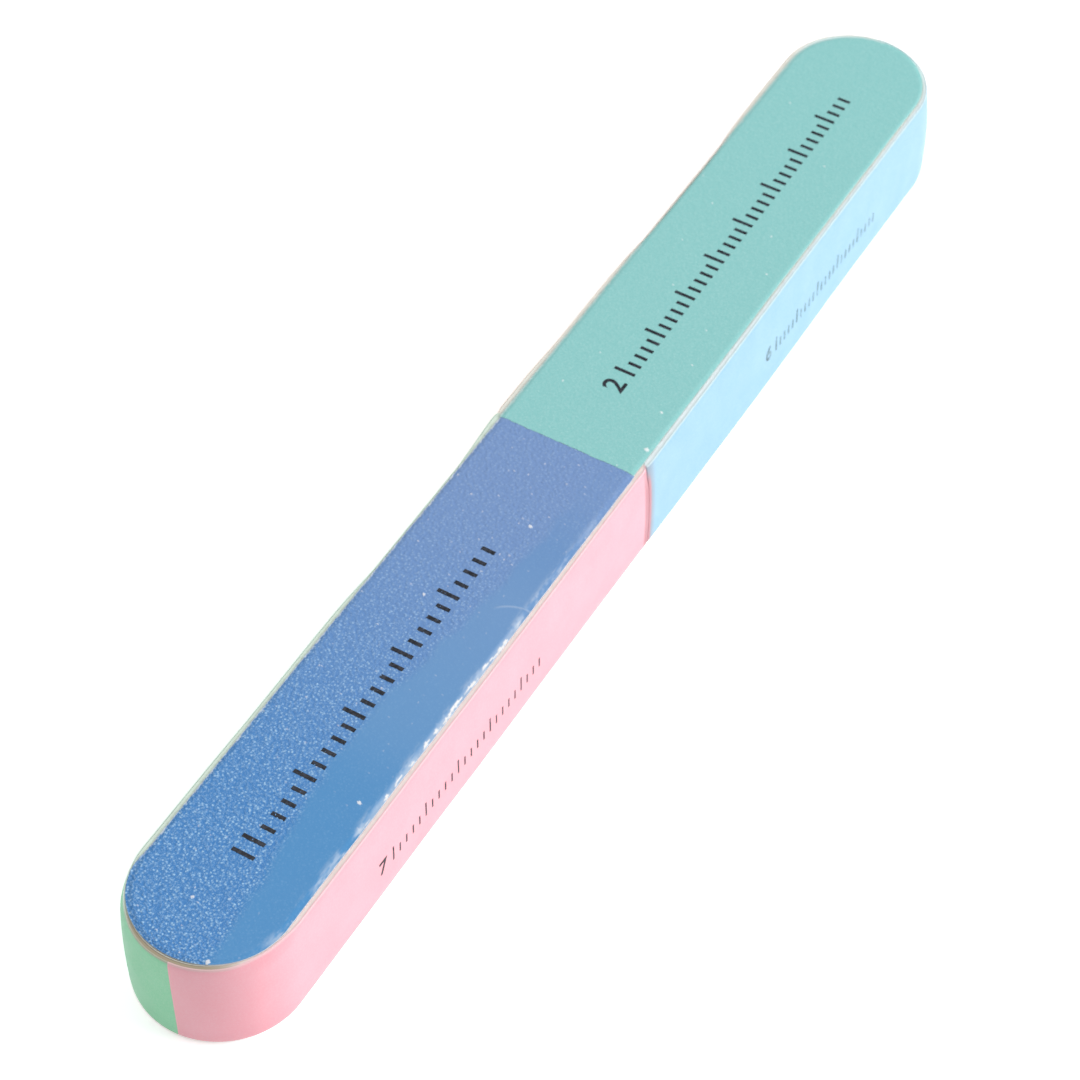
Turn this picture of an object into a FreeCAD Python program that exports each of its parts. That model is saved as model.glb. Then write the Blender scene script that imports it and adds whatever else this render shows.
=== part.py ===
import FreeCAD, Part
import Sketcher

import math
import os

from FreeCAD import Vector

# Seven-step nail buffer block, in millimetres.
# A stiff two-shell core is cushioned top and bottom by foam pads, carries abrasive sheets on its
# two flat faces, and is wrapped round its edge by two foam strips with buffing films on them.
# Frame: +X along the length from the near tip to the far tip, +Z up, -Y the side with the
# polishing and buffing bands. The origin is the centre of the underside.

DIMENSIONS = {
    # the whole block
    "overall_length": 180.0,
    "overall_width": 22.0,
    "overall_height": 15.0,
    # layers of the two flat faces
    "sheet_thickness": 0.4,
    "tape_thickness": 0.1,
    "pad_thickness": 1.5,
    "seam_x": -0.8,
    "seam_gap": 0.05,
    # layers of the edge
    "band_thickness": 0.15,
    "edge_foam_thickness": 0.95,
    "edge_recess": 0.3,
    "crown_radius": 97.0,
    "widest_height": 5.3,
    "left_joint_x": 1.7,
    "right_joint_x": 0.0,
    "strip_joint_gap": 0.3,
    "colour_change_angle": 7.0,
    # moulded core
    "core_wall": 1.2,
    "tongue_wall": 0.55,
    "tongue_height": 0.8,
    "tongue_clearance": 0.05,
    "rib_thickness": 1.0,
    "rib_setback": 1.0,
    "rib_pitch": 22.0,
    "rib_count": 7,
    "boss_diameter": 5.0,
    "pin_diameter": 2.5,
    "pin_height": 2.5,
    "pin_clearance": 0.05,
    "pin_pitch": 44.0,
    "pin_count": 4,
}

# Derived lengths, as expressions over the sheet's cells.
D = "Dimensions."
TIP_CENTRE = f"({D}overall_length - {D}overall_width) / 2"
BAND_FACE = f"{D}overall_width / 2"
FOAM_FACE = f"({BAND_FACE} - {D}band_thickness)"
FOAM_BACK = f"({FOAM_FACE} - {D}edge_foam_thickness)"
CORE_FACE = f"({FOAM_BACK} - {D}tape_thickness)"
CORE_BOTTOM = f"({D}sheet_thickness + {D}tape_thickness * 2 + {D}pad_thickness)"
CORE_TOP = f"({D}overall_height - {CORE_BOTTOM})"
MID_HEIGHT = f"{D}overall_height / 2"
SHELL_DEPTH = f"({MID_HEIGHT} - {CORE_BOTTOM})"
EDGE_LOW = f"{D}edge_recess"
EDGE_HIGH = f"{D}overall_height - {D}edge_recess"

# The two tips lie on -X and +X, and the two long sides on -Y and +Y.
NEAR, FAR = -1, 1
LEFT, RIGHT = -1, 1

# How Sketcher numbers the points of an edge, and its own X axis, whose start is the origin.
START, END, CENTRE = 1, 2, 3
X_AXIS = -1

doc = FreeCAD.newDocument("NailBufferBlock")
sheet = doc.addObject("Spreadsheet::Sheet", "Dimensions")
for row, (alias, value) in enumerate(DIMENSIONS.items(), start=1):
    sheet.set(f"A{row}", alias)
    sheet.set(f"B{row}", str(value))
    sheet.setAlias(f"B{row}", alias)
doc.recompute()

subparts = []


def size(expression):
    """The present value of an expression over the sheet, for a sketch's first guess."""
    value = sheet.evalExpression(expression.replace("Dimensions.", ""))
    return float(getattr(value, "Value", value))


def new_body(node):
    """One sub-part: a body whose label is its node's name."""
    body = doc.addObject("PartDesign::Body", node)
    body.Label = node
    subparts.append(body)
    return body


def new_sketch(body, name, plane="XY_Plane", offset="0"):
    """A sketch on one of the body's own origin planes, moved along its normal by offset."""
    sketch = body.newObject("Sketcher::SketchObject", f"{body.Name}_{name}")
    support = next(f for f in body.Origin.OriginFeatures if f.Role == plane)
    sketch.AttachmentSupport = [(support, "")]
    sketch.MapMode = "FlatFace"
    sketch.setExpression(".AttachmentOffset.Base.z", offset)
    return sketch


def constrain(sketch, kind, *where, expression=None):
    """Adds a constraint. One with an expression is a dimension that follows the sheet."""
    if expression is None:
        return sketch.addConstraint(Sketcher.Constraint(kind, *where))
    index = sketch.addConstraint(Sketcher.Constraint(kind, *where, size(expression)))
    sketch.setExpression(f"Constraints[{index}]", expression)
    return index


def place(sketch, direction, edge, point, side, expression):
    """Fixes a point's distance from the origin along X or Y, on the side given by +1 or -1."""
    ends = (X_AXIS, START, edge, point) if side > 0 else (edge, point, X_AXIS, START)
    constrain(sketch, f"Distance{direction}", *ends, expression=expression)


def place_x(sketch, edge, point, side, expression):
    place(sketch, "X", edge, point, side, expression)


def place_y(sketch, edge, point, side, expression):
    place(sketch, "Y", edge, point, side, expression)


def place_signed_x(sketch, edge, point, expression):
    """Fixes a point's X, which may be negative."""
    if size(expression) < 0:
        place_x(sketch, edge, point, -1, f"-({expression})")
    else:
        place_x(sketch, edge, point, 1, expression)


def line(sketch, start, end):
    return sketch.addGeometry(Part.LineSegment(Vector(*start, 0), Vector(*end, 0)))


def arc(sketch, centre, radius, from_degrees, to_degrees):
    circle = Part.Circle(Vector(*centre, 0), Vector(0, 0, 1), radius)
    angles = math.radians(from_degrees), math.radians(to_degrees)
    return sketch.addGeometry(Part.ArcOfCircle(circle, *angles))


def join_ends(sketch, kind, loop):
    """Joins the end of each edge to the start of the next, all the way round."""
    for edge, following in zip(loop, loop[1:] + loop[:1]):
        constrain(sketch, kind, edge, END, following, START)


def draw_stadium(sketch, radius):
    """A full-length outline with round ends. Every layer's ends share the same two centres."""
    r, c = size(radius), size(TIP_CENTRE)
    left_side = line(sketch, (-c, -r), (c, -r))
    far_end = arc(sketch, (c, 0), r, -90, 90)
    right_side = line(sketch, (c, r), (-c, r))
    near_end = arc(sketch, (-c, 0), r, 90, 270)
    join_ends(sketch, "Tangent", [left_side, far_end, right_side, near_end])
    for end, side in ((far_end, FAR), (near_end, NEAR)):
        constrain(sketch, "PointOnObject", end, CENTRE, X_AXIS)
        place_x(sketch, end, CENTRE, side, TIP_CENTRE)
    constrain(sketch, "Equal", far_end, near_end)
    constrain(sketch, "Radius", far_end, expression=radius)


def draw_half_stadium(sketch, radius, side, butt):
    """The near or the far half of that outline, cut straight across at X = butt."""
    r, c, b = size(radius), size(TIP_CENTRE) * side, size(butt)
    low = line(sketch, (b, -r), (c, -r))
    high = line(sketch, (c, r), (b, r))
    cut = line(sketch, (b, r), (b, -r))
    tip = arc(sketch, (c, 0), r, -90, 90) if side > 0 else arc(sketch, (c, 0), r, 90, 270)
    tip_low, tip_high = (START, END) if side > 0 else (END, START)
    constrain(sketch, "Tangent", low, END, tip, tip_low)
    constrain(sketch, "Tangent", high, START, tip, tip_high)
    constrain(sketch, "Coincident", high, END, cut, START)
    constrain(sketch, "Coincident", cut, END, low, START)
    constrain(sketch, "Vertical", cut)
    constrain(sketch, "Horizontal", low)
    constrain(sketch, "Horizontal", high)
    constrain(sketch, "PointOnObject", tip, CENTRE, X_AXIS)
    place_x(sketch, tip, CENTRE, side, TIP_CENTRE)
    place_signed_x(sketch, cut, START, butt)
    constrain(sketch, "Radius", tip, expression=radius)


def draw_rectangle(sketch, length, width, middle="0"):
    """A rectangle on the sketch's X axis, its centre at a distance on the origin's negative side."""
    x, y, m = size(length) / 2, size(width) / 2, -size(middle)
    corners = [(m - x, -y), (m + x, -y), (m + x, y), (m - x, y)]
    sides = [line(sketch, a, b) for a, b in zip(corners, corners[1:] + corners[:1])]
    join_ends(sketch, "Coincident", sides)
    for flat, upright in (sides[0:2], sides[2:4]):
        constrain(sketch, "Horizontal", flat)
        constrain(sketch, "Vertical", upright)
    place_x(sketch, sides[0], START, -1, f"{middle} + ({length}) / 2")
    place_y(sketch, sides[0], START, -1, f"({width}) / 2")
    constrain(sketch, "DistanceX", sides[0], START, sides[0], END, expression=length)
    constrain(sketch, "DistanceY", sides[1], START, sides[1], END, expression=width)


def draw_circle(sketch, diameter, distance):
    """A circle on the sketch's X axis, at a distance on its negative side."""
    middle = Vector(-size(distance), 0, 0)
    circle = sketch.addGeometry(Part.Circle(middle, Vector(0, 0, 1), size(diameter) / 2))
    constrain(sketch, "PointOnObject", circle, CENTRE, X_AXIS)
    place_x(sketch, circle, CENTRE, -1, distance)
    constrain(sketch, "Diameter", circle, expression=diameter)


def pad(body, sketch, length, downward=False):
    feature = body.newObject("PartDesign::Pad", f"{sketch.Name}_pad")
    feature.Profile = sketch
    feature.setExpression("Length", length)
    feature.Reversed = downward
    return feature


def pocket(body, sketch, depth, upward=False):
    """A pocket that has to take material away."""
    before = body.Shape.Volume
    feature = body.newObject("PartDesign::Pocket", f"{sketch.Name}_pocket")
    feature.Profile = sketch
    feature.setExpression("Length", depth)
    feature.Reversed = upward
    doc.recompute()
    if feature.Shape.Volume >= before:
        raise RuntimeError(f"{feature.Name} cuts nothing")
    return feature


def row_along_x(body, feature, pitch, count):
    """Repeats a feature along +X. The row is the body's shape from here on."""
    doc.recompute()
    pattern = body.newObject("PartDesign::LinearPattern", f"{feature.Name}_row")
    pattern.Originals = [feature]
    direction = next(f for f in body.Origin.OriginFeatures if f.Role == "X_Axis")
    pattern.Direction = (direction, [""])
    pattern.setExpression("Length", f"{pitch} * ({count} - 1)")
    pattern.setExpression("Occurrences", count)
    body.Tip = pattern
    doc.recompute()


def full_sheet(node, bottom, thickness):
    """A full-length layer of one flat face."""
    body = new_body(node)
    sketch = new_sketch(body, "outline", offset=bottom)
    draw_stadium(sketch, CORE_FACE)
    pad(body, sketch, thickness)


def half_sheet(node, side, bottom, thickness):
    """A layer that covers the near or the far half of a flat face, up to the butt seam."""
    body = new_body(node)
    sketch = new_sketch(body, "outline", offset=bottom)
    draw_half_stadium(sketch, CORE_FACE, side, f"{D}seam_x + {side} * {D}seam_gap / 2")
    pad(body, sketch, thickness)


def core_tray(body, is_upper, opening):
    """The shell's floor and side wall, opened from the plane where the two shells meet."""
    outer = new_sketch(body, "outer", offset=MID_HEIGHT)
    draw_stadium(outer, CORE_FACE)
    pad(body, outer, SHELL_DEPTH, downward=not is_upper)
    doc.recompute()
    inner = new_sketch(body, "inner", offset=MID_HEIGHT)
    draw_stadium(inner, opening)
    pocket(body, inner, f"{SHELL_DEPTH} - {D}core_wall", upward=is_upper)


def core_rim(body, is_upper, opening):
    """The tongue on the lower shell's rim, or the rebate in the upper shell that it sits in."""
    tongue_face = f"{opening} + {D}tongue_wall"
    if is_upper:
        rebate = new_sketch(body, "rebate", offset=MID_HEIGHT)
        draw_stadium(rebate, f"{tongue_face} + {D}tongue_clearance")
        pocket(body, rebate, f"{D}tongue_height + {D}tongue_clearance", upward=True)
        return
    tongue = new_sketch(body, "tongue", offset=MID_HEIGHT)
    draw_stadium(tongue, tongue_face)
    draw_stadium(tongue, opening)
    pad(body, tongue, f"{D}tongue_height")
    doc.recompute()


def core_ribs(body, is_upper, opening):
    """A spine along the shell and a row of cross ribs, both short of the meeting plane."""
    inward = 1 if is_upper else -1
    plane = f"{MID_HEIGHT} + {inward} * {D}rib_setback"
    depth = f"{SHELL_DEPTH} - {D}rib_setback - {D}core_wall / 2"
    spine = new_sketch(body, "spine", offset=plane)
    draw_rectangle(spine, f"2 * ({TIP_CENTRE})", f"{D}rib_thickness")
    pad(body, spine, depth, downward=not is_upper)
    doc.recompute()
    rib = new_sketch(body, "rib", offset=plane)
    into_both_walls = f"2 * ({opening}) + {D}core_wall"
    first_rib = f"{D}rib_pitch * ({D}rib_count - 1) / 2"
    draw_rectangle(rib, f"{D}rib_thickness", into_both_walls, first_rib)
    rib_pad = pad(body, rib, depth, downward=not is_upper)
    row_along_x(body, rib_pad, f"{D}rib_pitch", f"{D}rib_count")


def core_bosses(body, is_upper):
    """A row of bosses that meet in the middle, with pins below and sockets above."""
    first = f"{D}pin_pitch * ({D}pin_count - 1) / 2"
    boss = new_sketch(body, "boss", offset=MID_HEIGHT)
    draw_circle(boss, f"{D}boss_diameter", first)
    boss_pad = pad(body, boss, f"{SHELL_DEPTH} - {D}core_wall / 2", downward=not is_upper)
    row_along_x(body, boss_pad, f"{D}pin_pitch", f"{D}pin_count")
    if is_upper:
        socket = new_sketch(body, "socket", offset=MID_HEIGHT)
        draw_circle(socket, f"{D}pin_diameter + 2 * {D}pin_clearance", first)
        fit = pocket(body, socket, f"{D}pin_height + {D}pin_clearance", upward=True)
    else:
        pin = new_sketch(body, "pin", offset=MID_HEIGHT)
        draw_circle(pin, f"{D}pin_diameter", first)
        fit = pad(body, pin, f"{D}pin_height")
    row_along_x(body, fit, f"{D}pin_pitch", f"{D}pin_count")


def core_shell(node, is_upper):
    """Half of the hollow core. The two halves press together on their pins."""
    body = new_body(node)
    opening = f"{CORE_FACE} - {D}core_wall"
    core_tray(body, is_upper, opening)
    core_rim(body, is_upper, opening)
    core_ribs(body, is_upper, opening)
    core_bosses(body, is_upper)


def strip_end(end_side, y_side):
    """The X where the strip round one tip stops, by the open joint on one long side."""
    joint = f"{D}left_joint_x" if y_side == LEFT else f"{D}right_joint_x"
    return f"{joint} + {end_side} * {D}strip_joint_gap / 2"


def start_edge_path(sketch, end_side, y_side, degrees):
    """A line from the joint on one long side, then an arc round the tip.

    end_side is the tip's and y_side the long side's. Returns the arc and its last point.
    """
    r, c = size(CORE_FACE), size(TIP_CENTRE) * end_side
    turn = -end_side * y_side
    begin, finish = 90 * y_side, 90 * y_side + turn * degrees
    start = strip_end(end_side, y_side)
    side = line(sketch, (size(start), r * y_side), (c, r * y_side))
    tip = arc(sketch, (c, 0), r, *sorted((begin, finish)))
    first, last = (START, END) if turn > 0 else (END, START)
    constrain(sketch, "Tangent", side, END, tip, first)
    constrain(sketch, "Horizontal", side)
    constrain(sketch, "PointOnObject", tip, CENTRE, X_AXIS)
    place_x(sketch, tip, CENTRE, end_side, TIP_CENTRE)
    place_signed_x(sketch, side, START, start)
    constrain(sketch, "Radius", tip, expression=CORE_FACE)
    return tip, last


def draw_strip_path(sketch, end_side, y_side):
    """The U that a foam strip follows: one long side, round the tip, and back along the other."""
    tip, last = start_edge_path(sketch, end_side, y_side, 180)
    r, c = size(CORE_FACE), size(TIP_CENTRE) * end_side
    finish = strip_end(end_side, -y_side)
    back = line(sketch, (c, -r * y_side), (size(finish), -r * y_side))
    constrain(sketch, "Tangent", back, START, tip, last)
    constrain(sketch, "Horizontal", back)
    place_signed_x(sketch, back, END, finish)
    return ["Edge1", "Edge2", "Edge3"]


def draw_band_path(sketch, end_side, y_side, passes_tip):
    """The J that a band follows: one long side, then round to the change of colour by the tip."""
    angle = size(f"{D}colour_change_angle") * (1 if passes_tip else -1)
    tip, last = start_edge_path(sketch, end_side, y_side, 90 + angle)
    last_side = -y_side if passes_tip else y_side
    from_tip = f"{CORE_FACE} * sin({D}colour_change_angle * 1 deg)"
    place_y(sketch, tip, last, last_side, from_tip)
    return ["Edge1", "Edge2"]


def upright_line(sketch, y_side, face):
    """A straight line of an edge layer's cross-section, at a distance face from the mid plane."""
    y = size(face) * y_side
    edge = line(sketch, (y, size(EDGE_LOW)), (y, size(EDGE_HIGH)))
    for end, height in ((START, EDGE_LOW), (END, EDGE_HIGH)):
        place_x(sketch, edge, end, y_side, face)
        place_y(sketch, edge, end, 1, height)
    return edge, START, END


def crowned_line(sketch, y_side, face):
    """The same, but bowed: it reaches the distance face only at the block's widest height."""
    radius, widest = size(f"{D}crown_radius"), size(f"{D}widest_height")
    outward = 0 if y_side > 0 else 180
    down, up = (
        math.degrees(math.asin((size(height) - widest) / radius)) * y_side
        for height in (EDGE_LOW, EDGE_HIGH)
    )
    centre = ((size(face) - radius) * y_side, widest)
    edge = arc(sketch, centre, radius, *sorted((outward + down, outward + up)))
    low_end, high_end = (START, END) if y_side > 0 else (END, START)
    for end, height in ((low_end, EDGE_LOW), (high_end, EDGE_HIGH)):
        place_y(sketch, edge, end, 1, height)
    place_x(sketch, edge, CENTRE, -y_side, f"{D}crown_radius - {face}")
    place_y(sketch, edge, CENTRE, 1, f"{D}widest_height")
    constrain(sketch, "Radius", edge, expression=f"{D}crown_radius")
    return edge, low_end, high_end


def draw_layer_profile(sketch, y_side, inner, outer):
    """A layer's cross-section between two lines, each given as its drawing function and face."""
    (draw_back, back_face), (draw_front, front_face) = inner, outer
    back, *back_ends = draw_back(sketch, y_side, back_face)
    front, *front_ends = draw_front(sketch, y_side, front_face)
    for back_end, front_end in zip(back_ends, front_ends):
        from_point, to_point = sketch.getPoint(back, back_end), sketch.getPoint(front, front_end)
        closing = sketch.addGeometry(Part.LineSegment(from_point, to_point))
        constrain(sketch, "Coincident", closing, START, back, back_end)
        constrain(sketch, "Coincident", closing, END, front, front_end)


def edge_piece(node, end_side, y_side, layer, draw_path, *path_details):
    """A piece of the edge: a layer's cross-section swept along its path."""
    body = new_body(node)
    path = new_sketch(body, "path")
    edges = draw_path(path, end_side, y_side, *path_details)
    profile = new_sketch(body, "profile", "YZ_Plane", strip_end(end_side, y_side))
    draw_layer_profile(profile, y_side, *layer)
    doc.recompute()
    pipe = body.newObject("PartDesign::AdditivePipe", f"{node}_pipe")
    pipe.Profile = profile
    pipe.Spine = (path, edges)


def build_stack():
    """The flat layers and the core, from the underside up."""
    lower_pad = f"{D}sheet_thickness + {D}tape_thickness"
    top_tape = f"{D}overall_height - {D}sheet_thickness - {D}tape_thickness"
    top_sheet = f"{D}overall_height - {D}sheet_thickness"
    full_sheet("fine_grit_sheet", "0", f"{D}sheet_thickness")
    full_sheet("fine_sheet_tape", f"{D}sheet_thickness", f"{D}tape_thickness")
    full_sheet("lower_pad", lower_pad, f"{D}pad_thickness")
    full_sheet("lower_pad_tape", f"{lower_pad} + {D}pad_thickness", f"{D}tape_thickness")
    core_shell("core_shell_lower", is_upper=False)
    core_shell("core_shell_upper", is_upper=True)
    full_sheet("upper_pad_tape", CORE_TOP, f"{D}tape_thickness")
    full_sheet("upper_pad", f"{CORE_TOP} + {D}tape_thickness", f"{D}pad_thickness")
    for grade, side in (("coarse", NEAR), ("medium", FAR)):
        half_sheet(f"{grade}_sheet_tape", side, top_tape, f"{D}tape_thickness")
        half_sheet(f"{grade}_grit_sheet", side, top_sheet, f"{D}sheet_thickness")


def build_edge():
    """The layers wrapped round the edge, from the core out."""
    tape = (upright_line, CORE_FACE), (upright_line, FOAM_BACK)
    foam = (upright_line, FOAM_BACK), (crowned_line, FOAM_FACE)
    band = (crowned_line, FOAM_FACE), (crowned_line, BAND_FACE)
    for end, side in (("near", NEAR), ("far", FAR)):
        edge_piece(f"{end}_edge_tape", side, LEFT, tape, draw_strip_path)
        edge_piece(f"{end}_edge_foam", side, LEFT, foam, draw_strip_path)
    for node, end_side, y_side, passes_tip in (
        ("polishing_band", NEAR, LEFT, False),
        ("smoothing_band", NEAR, RIGHT, True),
        ("buffing_band", FAR, LEFT, True),
        ("refining_band", FAR, RIGHT, False),
    ):
        edge_piece(node, end_side, y_side, band, draw_band_path, passes_tip)


def check():
    """Stops if any object failed or any sub-part isn't a valid closed solid."""
    for item in doc.Objects:
        if "Invalid" in item.State or "Error" in item.State:
            raise RuntimeError(f"{item.Name} failed: {item.State}")
    for body in subparts:
        shape = body.Shape
        if shape.isNull() or not shape.isValid() or not shape.Solids:
            raise RuntimeError(f"{body.Label} has no valid solid")


def export():
    os.makedirs("parts", exist_ok=True)
    for body in subparts:
        body.Shape.exportStep(f"parts/{body.Label}.step")


build_stack()
build_edge()
doc.recompute()
check()
export()
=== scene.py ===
"""Nail buffer block: how its pieces look, the studio round them and the camera.

Lengths are in millimetres until add_object() makes a mesh of them in metres.
"""

import math

import bmesh
import bpy
import numpy as np
from mathutils import Matrix, Vector


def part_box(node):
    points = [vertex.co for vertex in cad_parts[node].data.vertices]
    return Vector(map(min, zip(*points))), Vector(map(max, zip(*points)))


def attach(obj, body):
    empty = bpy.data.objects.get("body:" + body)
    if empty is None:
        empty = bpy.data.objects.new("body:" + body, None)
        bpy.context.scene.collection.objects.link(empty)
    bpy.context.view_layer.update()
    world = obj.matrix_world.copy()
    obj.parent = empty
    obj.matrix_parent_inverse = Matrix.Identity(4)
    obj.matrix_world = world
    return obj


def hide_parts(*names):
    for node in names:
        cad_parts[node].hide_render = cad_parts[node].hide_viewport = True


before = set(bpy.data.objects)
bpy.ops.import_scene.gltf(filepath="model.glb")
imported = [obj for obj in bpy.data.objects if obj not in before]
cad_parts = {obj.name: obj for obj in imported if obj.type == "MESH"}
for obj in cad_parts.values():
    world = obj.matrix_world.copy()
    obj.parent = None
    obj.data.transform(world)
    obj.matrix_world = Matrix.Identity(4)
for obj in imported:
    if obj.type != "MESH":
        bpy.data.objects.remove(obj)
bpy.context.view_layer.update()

MM = 0.001
NEAR, FAR = -1, 1
LEFT, RIGHT = -1, 1


# ---------------------------------------------------------------- the frame, in millimetres


def box_mm(node):
    low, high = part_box(node)
    return np.array(low) / MM, np.array(high) / MM


COARSE_LOW, COARSE_HIGH = box_mm("coarse_grit_sheet")
MEDIUM_LOW, MEDIUM_HIGH = box_mm("medium_grit_sheet")
FINE_LOW, FINE_HIGH = box_mm("fine_grit_sheet")
BAND_LOW, BAND_HIGH = box_mm("smoothing_band")

SHEET_RADIUS = COARSE_HIGH[1]
TIP_CENTRE = -COARSE_LOW[0] - SHEET_RADIUS
TOP = COARSE_HIGH[2]
EDGE_LOW, EDGE_HIGH = BAND_LOW[2], BAND_HIGH[2]
MID_HEIGHT = (EDGE_LOW + EDGE_HIGH) / 2
FOAM_BACK = box_mm("near_edge_tape")[1][1]
FOAM_FACE = box_mm("near_edge_foam")[1][1]
BAND_FACE = BAND_HIGH[1]
BAND_THICKNESS = BAND_FACE - FOAM_FACE

# The X where each film stops at a joint.
POLISHING_END = box_mm("polishing_band")[1][0]
SMOOTHING_END = BAND_HIGH[0]
BUFFING_END = box_mm("buffing_band")[0][0]
REFINING_END = box_mm("refining_band")[0][0]


# ---------------------------------------------------------------- random fields


def smooth_step(value, low, high):
    """0 below low, 1 above high and a smooth rise between."""
    t = np.clip((np.asarray(value, float) - low) / (high - low), 0, 1)
    return t * t * (3 - 2 * t)


def soft_noise(x, y, pitch, seed):
    """A smooth random field from -1 to 1 whose bumps are about pitch apart."""
    size = 512
    table = np.random.default_rng(seed).uniform(-1, 1, (size, size))
    u, v = np.asarray(x, float) / pitch, np.asarray(y, float) / pitch
    i, j = np.floor(u).astype(int), np.floor(v).astype(int)
    fu, fv = u - i, v - j
    fu, fv = fu * fu * (3 - 2 * fu), fv * fv * (3 - 2 * fv)
    i0, i1, j0, j1 = i % size, (i + 1) % size, j % size, (j + 1) % size
    low = table[i0, j0] * (1 - fu) + table[i1, j0] * fu
    high = table[i0, j1] * (1 - fu) + table[i1, j1] * fu
    return low * (1 - fv) + high * fv


def cell_bumps(x, y, pitch, seed, reach=0.85, share=1.0):
    """Rounded bumps, one at a random place in each square cell, from 0 to 1 high.

    share is the part of the cells that have one. reach is a bump's radius in cells.
    """
    size = 512
    rng = np.random.default_rng(seed)
    place = rng.uniform(0.1, 0.9, (size, size, 2))
    height = rng.uniform(0.35, 1.0, (size, size))
    height[rng.uniform(0, 1, (size, size)) > share] = 0
    u, v = x / pitch, y / pitch
    i, j = np.floor(u).astype(int), np.floor(v).astype(int)
    best = np.zeros_like(u)
    for di in (-1, 0, 1):
        for dj in (-1, 0, 1):
            a, b = (i + di) % size, (j + dj) % size
            du = u - i - di - place[a, b, 0]
            dv = v - j - dj - place[a, b, 1]
            bump = height[a, b] * (1 - (du * du + dv * dv) / reach**2)
            best = np.maximum(best, bump)
    return best


# ---------------------------------------------------------------- meshes


def grid_faces(rows, cols, closed=False):
    """Quads between points stored row by row. closed also joins each row's end to its start."""
    index = np.arange(rows * cols).reshape(rows, cols)
    if closed:
        index = np.hstack([index, index[:, :1]])
    corners = index[:-1, :-1], index[:-1, 1:], index[1:, 1:], index[1:, :-1]
    return np.stack(corners, -1).reshape(-1, 4).tolist()


def add_object(name, points, faces, values=None, sharp_angle=50):
    """A shown piece on the root body. values are named numbers at its points, for its material."""
    mesh = bpy.data.meshes.new(name)
    mesh.from_pydata((np.asarray(points) * MM).tolist(), [], faces)
    for key, numbers in (values or {}).items():
        layer = mesh.attributes.new(key, "FLOAT", "POINT")
        layer.data.foreach_set("value", np.asarray(numbers, np.float32))
    work = bmesh.new()
    work.from_mesh(mesh)
    bmesh.ops.recalc_face_normals(work, faces=work.faces)
    work.to_mesh(mesh)
    work.free()
    mesh.polygons.foreach_set("use_smooth", [True] * len(mesh.polygons))
    mesh.set_sharp_from_angle(angle=math.radians(sharp_angle))
    mesh.update()
    made = bpy.data.objects.new(name, mesh)
    bpy.context.scene.collection.objects.link(made)
    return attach(made, "root")


# ---------------------------------------------------------------- shaders


def linear(hexadecimal):
    """A colour written as rrggbb, as Blender's linear numbers."""
    parts = [int(hexadecimal[i : i + 2], 16) / 255 for i in (0, 2, 4)]
    bent = [p / 12.92 if p <= 0.04045 else ((p + 0.055) / 1.055) ** 2.4 for p in parts]
    return (*bent, 1.0)


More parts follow.
